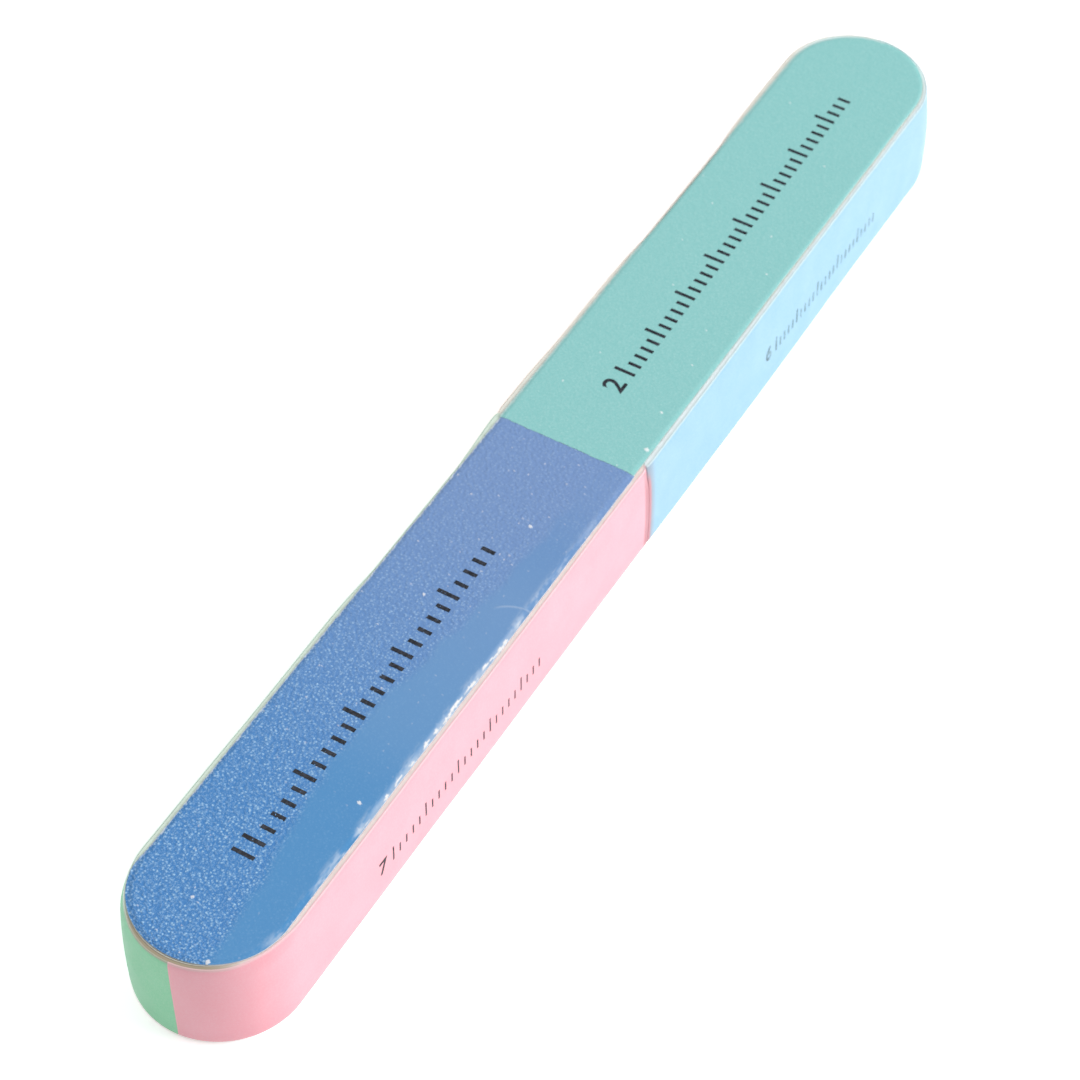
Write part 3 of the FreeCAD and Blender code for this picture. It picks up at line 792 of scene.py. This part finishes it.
def film_finish(name, body, light, end_shade_tint, cut, tip_shade_share, deep_fold_shade):
    """A satin buffing film, with its pale cut edge and painted shade on its folded-in end.

    The share after the cut edge's colour is how much of that edge turns to the near tip's painted
    shade.
    """
    look = Finish(name)
    tint = look.mix(look.ramp(look.noise(5, 3), 0.3, 0.7), body, light)
    speckle = look.ramp(look.noise(0.25, 2, 0.6), 0.35, 0.75, 0.0, 0.08)
    tint = look.mix(speckle, tint, "ffffff")
    z = look.axis("Z")
    # Painted shade: the film darkens a little towards 5a4444 round the near tip.
    film_shade = look.ramp(look.axis("X"), FILM_SHADE_FROM * MM, FILM_SHADE_TO * MM, 0.1, 0.0)
    tint = look.mix(film_shade, tint, "5a4444")
    # Painted shade darkens the film's folded end, most deeply right in the fold.
    by_height = look.ramp(z, FOLD_SHADE_HEIGHT * MM, EDGE_HIGH * MM, 1.0, 0.8)
    end = look.maths("MULTIPLY", look.number("end"), by_height)
    tint = look.mix(look.maths("MULTIPLY", end, 0.85), tint, end_shade_tint)
    tint = look.mix(look.ramp(end, 0.8, 1.0), tint, deep_fold_shade)
    top_rim = look.ramp(z, (EDGE_HIGH - 0.4) * MM, (EDGE_HIGH - 0.02) * MM, 0.0, 0.9)
    low_rim = look.ramp(z, (EDGE_LOW + 0.05) * MM, (EDGE_LOW + 0.3) * MM, 0.6, 0.0)
    # Painted shade: the cut edge browns round the near tip.
    tip_shading = look.ramp(look.axis("X"), TIP_SHADE_FROM * MM, TIP_SHADE_TO * MM, tip_shade_share, 0.0)
    cut = look.mix(tip_shading, cut, TIP_SHADE_COLOUR)
    tint = look.mix(look.maths("MAXIMUM", top_rim, low_rim), tint, cut)
    tint = look.mix(look.number("cut"), tint, cut)
    look.set(Base_Color=tint, Roughness=look.ramp(look.noise(3, 2), 0.3, 0.7, 0.38, 0.46))
    look.set(Specular_IOR_Level=0.5)
    return look.bump(look.noise(0.35, 2), 0.012, 0.35)


def place_tint(look, left, right, tip, tip_x, tip_to_x):
    """A pale colour that takes after the film beside it: by side, then at the tip, where the near
    tip's darker colour is painted shade.
    """
    tint = look.mix(look.ramp(look.axis("Y"), -0.004, 0.004), left, right)
    return look.mix(look.ramp(look.axis("X"), tip_x * MM, tip_to_x * MM, 1.0, 0.0), tint, tip)


# Left, right and tip colours, then the X where the tip colour is full and where it has gone; the
# near tip's darker colours are painted shade.
NEAR_TINTS = "f1e0dc", "daeadd", TIP_SHADE_COLOUR, TIP_SHADE_FROM, TIP_SHADE_TO
NEAR_TAPE_TINTS = "f1e0dc", "ddecdf", "d1d0c5", TIP_SHADE_FROM, TIP_SHADE_TO
FAR_TINTS = "e6eff2", "ecebe2", "e5f5f5", 86.0, 79.0
PAD_TINTS = "efede5", "efede5", "dcd9cd", TIP_SHADE_FROM, TIP_SHADE_TO


def foam_finish(name, tints):
    look = Finish(name)
    pores = look.ramp(look.cells(0.32), 0.0, 0.14, 0.22, 0.0)
    shade = look.ramp(look.noise(1.1, 3), 0.35, 0.65, 0.0, 0.1)
    colour = look.mix(look.maths("ADD", pores, shade), place_tint(look, *tints), "9e9483")
    look.set(Base_Color=colour, Roughness=0.9, Specular_IOR_Level=0.15)
    return look.bump(pores, 0.06, 0.6)


# Each film's two body tints, painted shade on its folded end, cut edge, share of its rim given
# the near tip's painted shade and the deepest painted shade in the fold.
FILM_COLOURS = {
    "polishing": ("f8abb8", "f8afbc", "cf8f98", "f4cbd0", 0.3, "c98791"),
    "smoothing": ("82d8a7", "86dbab", "66aa85", "dceee3", 0.85, "66aa85"),
    "buffing": ("92c1db", "96c4dd", "9a9fab", "ccdfe2", 0.0, "c98b95"),
    "refining": ("f8c09c", "f8c5a2", "c89071", "fbf3ea", 0.0, "c89071"),
}
FOLD_REACH = 1.3


def make_edge():
    """The four films and the two foam strips that carry them."""
    offsets, heights, cut = film_ring()
    left_near, left_far = POLISHING_END, BUFFING_END - JOINT_PRESS
    right_near, right_far = SMOOTHING_END, REFINING_END - JOINT_PRESS
    short_turn, long_turn = 90 - COLOUR_CHANGE_ANGLE, 90 + COLOUR_CHANGE_ANGLE
    # use, tip, side, start, turn in degrees and the depth its end folds in
    bands = (
        ("polishing", NEAR, LEFT, left_near, short_turn, 0.45),
        ("smoothing", NEAR, RIGHT, right_near, long_turn, 0.3),
        ("buffing", FAR, LEFT, left_far, long_turn, 0.2),
        ("refining", FAR, RIGHT, right_far, short_turn, 0.3),
    )
    for use, end_side, y_side, start, turn, depth in bands:
        path = edge_path(end_side, y_side, start, turn)
        pull = end_rounding(path[3], path[3][-1], depth, 0.0, FOLD_REACH)
        piece = strip(f"{use}_film_skin", path, (offsets, heights), pull, {"cut": cut})
        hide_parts(f"{use}_band")
        film_finish(f"{use}_film", *FILM_COLOURS[use]).paint(piece, f"{use}_film")
    for end, end_side, left_x, right_x, depth, tints in (
        ("near", NEAR, left_near, right_near, 0.45, NEAR_TINTS),
        ("far", FAR, left_far, right_far, 0.2, FAR_TINTS),
    ):
        path = edge_path(end_side, LEFT, left_x, 180, right_x)
        pull = end_rounding(path[3], path[3][-1], depth, 0.3, FOLD_REACH)
        piece = strip(f"{end}_foam_strip", path, foam_ring(), pull)
        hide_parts(f"{end}_edge_foam")
        foam_finish(f"{end}_foam", tints).paint(piece, "cushion_foam")


# ---------------------------------------------------------------- pads


def make_cushions():
    """The two foam pads, with soft porous sides."""
    foam = foam_finish("pad_foam", PAD_TINTS)
    for name, node in (("upper_cushion", "upper_pad"), ("lower_cushion", "lower_pad")):
        low, high = box_mm(node)
        angles = np.linspace(0, math.pi, 91)
        far = np.stack([TIP_CENTRE + high[1] * np.sin(angles), -high[1] * np.cos(angles)], -1)
        long_side = np.linspace(TIP_CENTRE, -TIP_CENTRE, 400)[1:-1]
        right = np.stack([long_side, np.full(len(long_side), high[1])], -1)
        ring = np.vstack([far, right, -far, -right])
        outward = outward_directions(ring)
        levels = np.linspace(0, 1, 9)
        rows = []
        for level in levels:
            z = low[2] + (high[2] - low[2]) * level
            soft = soft_noise(ring[:, 0] + ring[:, 1], np.full(len(ring), z), 0.6, 301)
            inset = 0.03 + 0.10 * (abs(level - 0.5) * 2) ** 4 + 0.02 * soft
            flat = ring - outward * inset[:, None]
            rows.append(np.hstack([flat, np.full((len(ring), 1), z)]))
        count = len(ring)
        faces = grid_faces(len(levels), count, closed=True)
        faces += [list(range(count)), list(range((len(levels) - 1) * count, len(levels) * count))]
        piece = add_object(name, np.vstack(rows), faces)
        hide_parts(node)
        foam.paint(piece, "cushion_foam")


# ---------------------------------------------------------------- printed marks

# Every fifth bar is as tall as the numeral, and the others are this share of it.
LONG_BAR_EVERY, SHORT_BAR = 5, 0.62


def numeral_outline(digit, height):
    """A flat mesh of one numeral, its lower left corner at the origin, as a bmesh."""
    text = bpy.data.curves.new("numeral", "FONT")
    text.body = str(digit)
    text.size = 10
    text.offset = 0.12
    holder = bpy.data.objects.new("numeral", text)
    mesh = bpy.data.meshes.new_from_object(holder)
    work = bmesh.new()
    work.from_mesh(mesh)
    bmesh.ops.remove_doubles(work, verts=work.verts, dist=1e-4)
    lows = [min(v.co[i] for v in work.verts) for i in (0, 1)]
    tall = max(v.co.y for v in work.verts) - lows[1]
    for v in work.verts:
        v.co = Vector(((v.co.x - lows[0]), (v.co.y - lows[1]), 0)) * (height / tall)
    bpy.data.objects.remove(holder)
    bpy.data.curves.remove(text)
    bpy.data.meshes.remove(mesh)
    return work


def add_bar(work, u, v, width, height):
    corners = [(u, v), (u + width, v), (u + width, v + height), (u, v + height)]
    work.faces.new([work.verts.new((*corner, 0)) for corner in corners])


def from_lowest(corners):
    """A face's corners in the same round, starting with the lowest."""
    start = corners.index(min(corners))
    return corners[start:] + corners[:start]


def print_marks(name, digit, size, stroke, pitch, place):
    """A numeral and a scale of bars, as one thin slab of ink laid on a face.

    size is the line's length, height and thickness, stroke a bar's width and pitch the bars'
    spacing. place(u, v, w) turns a distance along, up and out of the face into points.
    """
    length, height, thickness = size
    work = numeral_outline(digit, height)
    start = max(v.co.x for v in work.verts) + 1.3 * stroke + 0.9
    count = int((length - start) // pitch)
    for k in range(count):
        share = 1.0 if k % LONG_BAR_EVERY == 0 else SHORT_BAR
        add_bar(work, start + k * pitch, 0.0, stroke, height * share)
    for axis, span, gap in ((0, length, 1.0), (1, height, 0.3)):
        normal = Vector((1, 0, 0)) if axis == 0 else Vector((0, 1, 0))
        for cut in np.arange(gap / 2, span, gap):
            everything = list(work.verts) + list(work.edges) + list(work.faces)
            bmesh.ops.bisect_plane(work, geom=everything, plane_co=normal * cut, plane_no=normal)
    bmesh.ops.triangulate(work, faces=work.faces)
    lift = bmesh.ops.extrude_face_region(work, geom=list(work.faces), use_keep_orig=True)
    for item in lift["geom"]:
        if isinstance(item, bmesh.types.BMVert):
            item.co.z = 1.0
    work.verts.index_update()
    flat = np.array([v.co[:] for v in work.verts])
    # Blender lists these faces in another order each run, so they are sorted.
    faces = sorted(from_lowest([v.index for v in f.verts]) for f in work.faces)
    work.free()
    points = place(flat[:, 0], flat[:, 1], flat[:, 2] * thickness)
    return add_object(name, points, faces, sharp_angle=30)


def on_top(u0, v0, level):
    """Marks on a top sheet, on its face's level."""

    def place(u, v, w):
        return np.stack([u0 + u, v0 + v, level + w], -1)

    return place


def on_side(u0, z0, y_side, direction):
    """Marks on a long side's film, just above its face."""

    def place(u, v, w):
        x, z = u0 + direction * u, z0 + v
        wave = edge_waves(x, np.full_like(x, y_side * BAND_FACE), z)
        out = face_distance(z) + wave - 0.02 + w
        return np.stack([x, y_side * out, z], -1)

    return place


def on_underside(u0, v0, level):
    """Marks on the underside's sheet, the right way round from below."""

    def place(u, v, w):
        return np.stack([u0 + u, -(v0 + v), level - w], -1)

    return place


def ink_finish(name, colour, faded, fade_pitch):
    look = Finish(name)
    worn = look.ramp(look.noise(fade_pitch, 3), 0.35, 0.7)
    look.set(Base_Color=look.mix(worn, colour, faded), Roughness=0.5, Specular_IOR_Level=0.3)
    return look.bump(look.noise(0.12, 2), 0.01, 0.4)


def make_prints():
    """One line of marks on each sheet and each film."""
    dark = ink_finish("black_ink", "1b1e26", "3c3f48", 0.4)
    soft = ink_finish("grey_ink", "4b6069", "8fb0bf", 1.1)
    # use, numeral, length, bar width, bar spacing and place
    on_sheets = (
        ("coarse", 1, 56.5, 0.55, 2.1, on_top(-73.5, -1.5, TOP - 0.02)),
        ("medium", 2, 66.5, 0.5, 1.6, on_top(10.4, -1.5, TOP - 0.03)),
        ("fine", 3, 80.0, 0.5, 1.2, on_underside(-40, -1.5, FINE_LOW[2] + 0.03)),
    )
    on_films = (
        ("polishing", 7, 38.5, 0.26, 1.45, on_side(-62.4, 4.8, LEFT, 1)),
        ("buffing", 6, 33.4, 0.26, 1.2, on_side(33.2, 5.2, LEFT, 1)),
        ("smoothing", 5, 34.0, 0.26, 1.2, on_side(-28.0, 5.0, RIGHT, -1)),
        ("refining", 4, 34.0, 0.26, 1.2, on_side(62.0, 5.0, RIGHT, -1)),
    )
    groups = (on_sheets, 3.0, 0.05, "grit"), (on_films, 2.5, 0.045, "film")
    for marks, height, thickness, kind in groups:
        for use, digit, length, stroke, pitch, place in marks:
            size = length, height, thickness
            piece = print_marks(f"{use}_print", digit, size, stroke, pitch, place)
            ink = soft if use == "buffing" else dark
            ink.paint(piece, f"{use}_{kind}")


# ---------------------------------------------------------------- the CAD nodes that stay


def tape_finish(name, tints):
    look = Finish(name)
    fibre = look.ramp(look.noise(0.8, 4, 0.6, (1, 1, 4)), 0.3, 0.7, 0.0, 0.15)
    look.set(Base_Color=look.mix(fibre, place_tint(look, *tints), "aaa089"), Roughness=0.55)
    return look.bump(look.noise(0.3, 2), 0.01, 0.4)


def paint_cad_nodes():
    tapes = {
        "near_edge_tape": tape_finish("near_tape", NEAR_TAPE_TINTS),
        "far_edge_tape": tape_finish("far_tape", FAR_TINTS),
    }
    flat_tape = tape_finish("flat_tape", PAD_TINTS)
    plastic = Finish("core_plastic")
    cloud = plastic.ramp(plastic.noise(6, 3), 0.3, 0.7)
    plastic.set(Base_Color=plastic.mix(cloud, "e6e6e2", "dadad4"), Roughness=0.42)
    plastic.bump(plastic.noise(0.5, 3), 0.02, 0.3)
    for name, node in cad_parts.items():
        if name.startswith("core_shell"):
            plastic.paint(node, "core_plastic")
        elif name.endswith("_tape"):
            tapes.get(name, flat_tape).paint(node, "adhesive")


# ---------------------------------------------------------------- studio


FLOOR_SIZE, FLOOR_DROP = 8.0, 0.05 * MM
FLOOR_GLOW = 0.49
# The world's light, and how bright it looks where the camera sees it.
WORLD_LIGHT, BACKDROP_LIGHT = 0.205, 0.68
# Place in metres, size in metres and watts.
KEY_LIGHT = (0.42, -0.83, 0.6), 0.8, 10.5
TOP_LIGHT = (0.0, 0.35, 0.9), 0.7, 4.1


def make_floor():
    bpy.ops.mesh.primitive_plane_add(size=FLOOR_SIZE, location=(0, 0, -FLOOR_DROP))
    floor = bpy.context.object
    floor.name = "studio_floor"
    look = Finish("studio_floor")
    cloud = look.ramp(look.noise(400, 2), 0.3, 0.7)
    look.set(Base_Color=look.mix(cloud, "f6f6f6", "f2f2f2"), Roughness=0.9)
    look.set(Specular_IOR_Level=0.0, Emission_Color="ffffff", Emission_Strength=FLOOR_GLOW)
    floor.data.materials.append(look.material)


def area_light(name, place, size, watts):
    """A round soft light that faces the origin."""
    data = bpy.data.lights.new(name, "AREA")
    data.shape = "DISK"
    data.size = size
    data.energy = watts
    lamp = bpy.data.objects.new(name, data)
    bpy.context.scene.collection.objects.link(lamp)
    lamp.location = place
    aim = Vector((0, 0, 0)) - Vector(place)
    lamp.rotation_euler = aim.to_track_quat("-Z", "Y").to_euler()


def make_lights():
    world = bpy.data.worlds.new("studio")
    world.use_nodes = True
    background = world.node_tree.nodes["Background"]
    background.inputs["Color"].default_value = (1, 1, 1, 1)
    background.inputs["Strength"].default_value = WORLD_LIGHT
    backdrop = world.node_tree.nodes.new("ShaderNodeBackground")
    backdrop.inputs["Color"].default_value = (1, 1, 1, 1)
    backdrop.inputs["Strength"].default_value = BACKDROP_LIGHT
    path = world.node_tree.nodes.new("ShaderNodeLightPath")
    choice = world.node_tree.nodes.new("ShaderNodeMixShader")
    link = world.node_tree.links.new
    link(path.outputs["Is Camera Ray"], choice.inputs[0])
    link(background.outputs[0], choice.inputs[1])
    link(backdrop.outputs[0], choice.inputs[2])
    link(choice.outputs[0], world.node_tree.nodes["World Output"].inputs["Surface"])
    bpy.context.scene.world = world
    area_light("key", *KEY_LIGHT)
    area_light("top", *TOP_LIGHT)


# Angles in degrees, lens in millimetres.
CAMERA_TARGET = Vector((-15.98, -5.13, 15.0)) * MM
CAMERA_AZIMUTH = -59.6154
CAMERA_ELEVATION = 49.6652
CAMERA_ROLL = 0.3318
CAMERA_DISTANCE = 385.3 * MM
CAMERA_LENS = 104.55
FOCUS_POINT = Vector((-82.2, 0.0, 15.0)) * MM
FOCUS_F_STOP = 80


def make_camera():
    """The camera, which is focused on a point near the near tip, with little depth blur."""
    azimuth, elevation, roll = map(math.radians, (CAMERA_AZIMUTH, CAMERA_ELEVATION, CAMERA_ROLL))
    flat = math.cos(elevation)
    back = Vector((math.sin(azimuth) * flat, -math.cos(azimuth) * flat, math.sin(elevation)))
    level = Vector((math.cos(azimuth), math.sin(azimuth), 0))
    upright = back.cross(level)
    right = level * math.cos(roll) + upright * math.sin(roll)
    up = upright * math.cos(roll) - level * math.sin(roll)
    camera = bpy.data.cameras.new("camera")
    camera.lens = CAMERA_LENS
    camera.sensor_width = 36
    camera.clip_start, camera.clip_end = 0.01, 20
    camera.dof.use_dof = True
    focus = bpy.data.objects.new("focus_point", None)
    focus.location = FOCUS_POINT
    bpy.context.scene.collection.objects.link(focus)
    camera.dof.focus_object = focus
    camera.dof.aperture_fstop = FOCUS_F_STOP
    holder = bpy.data.objects.new("camera", camera)
    bpy.context.scene.collection.objects.link(holder)
    turn = Matrix((right, up, back)).transposed().to_4x4()
    holder.matrix_world = Matrix.Translation(CAMERA_TARGET + back * CAMERA_DISTANCE) @ turn
    bpy.context.scene.camera = holder


make_grit_sheets()
make_edge()
make_cushions()
make_prints()
paint_cad_nodes()
make_floor()
make_lights()
make_camera()
bpy.context.scene.view_settings.view_transform = "Standard"
